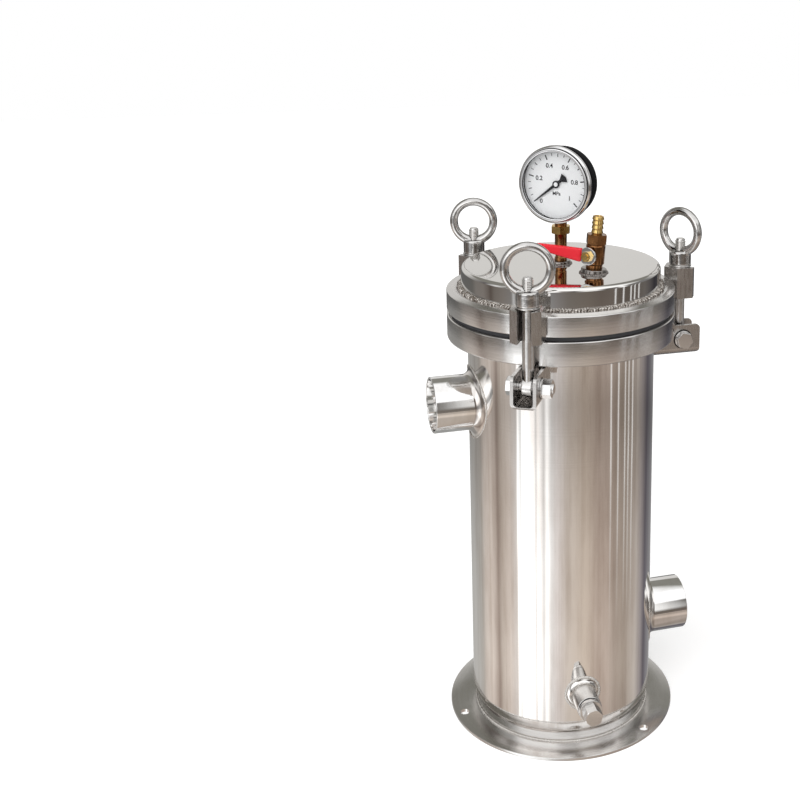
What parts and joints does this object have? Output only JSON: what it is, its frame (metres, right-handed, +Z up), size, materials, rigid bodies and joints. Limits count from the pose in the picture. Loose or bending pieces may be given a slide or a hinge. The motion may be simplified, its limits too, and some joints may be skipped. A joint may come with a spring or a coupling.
{
  "type": "bag filter housing",
  "caption": "Upright stainless bag filter housing on a foot ring, with side inlet and outlet pipes, lift-off lid on swing bolts with eye nuts, pressure gauge, vent valve and drain plug.",
  "frame": {"origin": "centre of the foot ring's underside, on the vessel axis", "axes": "+Z up along the vessel axis, +X along the outlet pipe, -X along the inlet pipe, -Y towards the drain"},
  "size_m": [0.3011, 0.2921, 0.643],
  "materials": {
    "polished_steel": "mirror polished stainless steel",
    "machined_steel": "turned and brushed stainless steel",
    "satin_steel": "satin stainless steel",
    "seal_rubber": "matt",
    "brass": "bright machined",
    "black_case": "gloss black",
    "chrome_trim": "polished",
    "gauge_glass": "clear",
    "white_dial": "satin white",
    "black_hand": "satin black",
    "red_vinyl": "dipped vinyl",
    "bag_ring_plastic": "moulded",
    "bag_felt": "needle felt"
  },
  "bodies": {
    "housing": {"base_ring": "machined_steel", "skirt_ring": "polished_steel", "bottom_head": "polished_steel", "shell": "polished_steel", "inlet_neck": "polished_steel", "inlet_pipe": "polished_steel", "inlet_collar": "polished_steel", "outlet_neck": "polished_steel", "outlet_pipe": "polished_steel", "outlet_collar": "polished_steel", "drain_socket": "polished_steel", "drain_collar": "polished_steel", "body_flange": "machined_steel", "seal_ring": "seal_rubber", "basket_seat": "satin_steel", "clevis_bracket_1": "polished_steel", "clevis_bracket_2": "polished_steel", "clevis_bracket_3": "polished_steel", "pin_bolts": "polished_steel", "pin_nuts": "polished_steel"},
    "lid": {"lid_flange": "machined_steel", "lid_cap": "polished_steel", "lid_lug_1": "machined_steel", "lid_lug_2": "machined_steel", "lid_lug_3": "machined_steel", "gauge_boss": "polished_steel", "gauge_stem": "brass", "gauge_case": "black_case", "gauge_bezel": "chrome_trim", "gauge_glass": "gauge_glass", "gauge_dial": "white_dial", "gauge_movement": "brass", "vent_boss": "polished_steel", "vent_body": "brass", "vent_hose_tail": "brass"},
    "gauge_hand": {"gauge_spindle": "brass", "gauge_pointer": "black_hand"},
    "vent_lever": {"vent_ball": "chrome_trim", "vent_stem": "brass", "lever_plate": "chrome_trim", "lever_grip": "red_vinyl", "lever_nut": "chrome_trim"},
    "plug_washer": {"drain_washer": "polished_steel"},
    "plug": {"drain_plug": "polished_steel"},
    "basket": {"basket_rim": "satin_steel", "basket_wall": "satin_steel", "basket_base": "satin_steel", "basket_grips": "satin_steel"},
    "bag": {"bag_ring": "bag_ring_plastic", "bag_sock": "bag_felt"},
    "bolt_1": {"swing_bolt_1": "polished_steel"},
    "nut_washer_1": {"washer_1": "polished_steel"},
    "lifting_nut_1": {"eye_nut_1": "polished_steel"},
    "bolt_2": {"swing_bolt_2": "polished_steel"},
    "nut_washer_2": {"washer_2": "polished_steel"},
    "lifting_nut_2": {"eye_nut_2": "polished_steel"},
    "bolt_3": {"swing_bolt_3": "polished_steel"},
    "nut_washer_3": {"washer_3": "polished_steel"},
    "lifting_nut_3": {"eye_nut_3": "polished_steel"}
  },
  "joints": [
    {"name": "lid_lift", "type": "slide", "parent": "housing", "child": "lid", "axis": [0, 0, 1], "range_m": [0, 0.8]},
    {"name": "basket_lift", "type": "slide", "parent": "housing", "child": "basket", "axis": [0, 0, 1], "range_m": [0, 0.44]},
    {"name": "bag_lift", "type": "slide", "parent": "housing", "child": "bag", "axis": [0, 0, 1], "range_m": [0, 0.76]},
    {"name": "bolt_swing_1", "type": "hinge", "parent": "housing", "child": "bolt_1", "pos_m": [-0.06943, -0.11787, 0.422], "axis": [-0.8616, 0.5075, 0], "range_deg": [-95, 0]},
    {"name": "nut_travel_1", "type": "slide", "parent": "bolt_1", "child": "nut_washer_1", "axis": [0, 0, 1], "range_m": [0, 0.8]},
    {"name": "nut_turn_1", "type": "hinge", "parent": "nut_washer_1", "child": "lifting_nut_1", "pos_m": [-0.06943, -0.11787, 0.505], "axis": [0, 0, 1], "continuous": true},
    {"name": "bolt_swing_2", "type": "hinge", "parent": "housing", "child": "bolt_2", "pos_m": [0.13679, -0.00119, 0.422], "axis": [-0.0087, -1, 0], "range_deg": [-95, 0]},
    {"name": "nut_travel_2", "type": "slide", "parent": "bolt_2", "child": "nut_washer_2", "axis": [0, 0, 1], "range_m": [0, 0.8]},
    {"name": "nut_turn_2", "type": "hinge", "parent": "nut_washer_2", "child": "lifting_nut_2", "pos_m": [0.13679, -0.00119, 0.505], "axis": [0, 0, 1], "continuous": true},
    {"name": "bolt_swing_3", "type": "hinge", "parent": "housing", "child": "bolt_3", "pos_m": [-0.06736, 0.11907, 0.422], "axis": [0.8704, 0.4924, 0], "range_deg": [-95, 0]},
    {"name": "nut_travel_3", "type": "slide", "parent": "bolt_3", "child": "nut_washer_3", "axis": [0, 0, 1], "range_m": [0, 0.8]},
    {"name": "nut_turn_3", "type": "hinge", "parent": "nut_washer_3", "child": "lifting_nut_3", "pos_m": [-0.06736, 0.11907, 0.505], "axis": [0, 0, 1], "continuous": true},
    {"name": "pointer_turn", "type": "hinge", "parent": "lid", "child": "gauge_hand", "pos_m": [0, 0, 0.602], "axis": [0.6561, 0.7547, 0], "range_deg": [0, 262]},
    {"name": "vent_turn", "type": "hinge", "parent": "lid", "child": "vent_lever", "pos_m": [0.02173, -0.05053, 0.53484], "axis": [0.729, 0.6834, -0.0391], "range_deg": [0, 90]},
    {"name": "plug_travel", "type": "slide", "parent": "housing", "child": "plug_washer", "axis": [-0.061, -0.9981, 0], "range_m": [0, 0.016]},
    {"name": "plug_turn", "type": "hinge", "parent": "plug_washer", "child": "plug", "pos_m": [-0.00794, -0.12976, 0.063], "axis": [-0.061, -0.9981, 0], "range_deg": [0, 4320]}
  ],
  "couplings": [
    {"joint": "basket_lift", "follows": "lid_lift", "ratio": 0.55},
    {"joint": "bag_lift", "follows": "lid_lift", "ratio": 0.95},
    {"joint": "nut_travel_1", "follows": "lid_lift", "ratio": 1},
    {"joint": "nut_travel_2", "follows": "lid_lift", "ratio": 1},
    {"joint": "nut_travel_3", "follows": "lid_lift", "ratio": 1},
    {"joint": "plug_turn", "follows": "plug_travel", "rad_per_m": 4699.5}
  ]
}
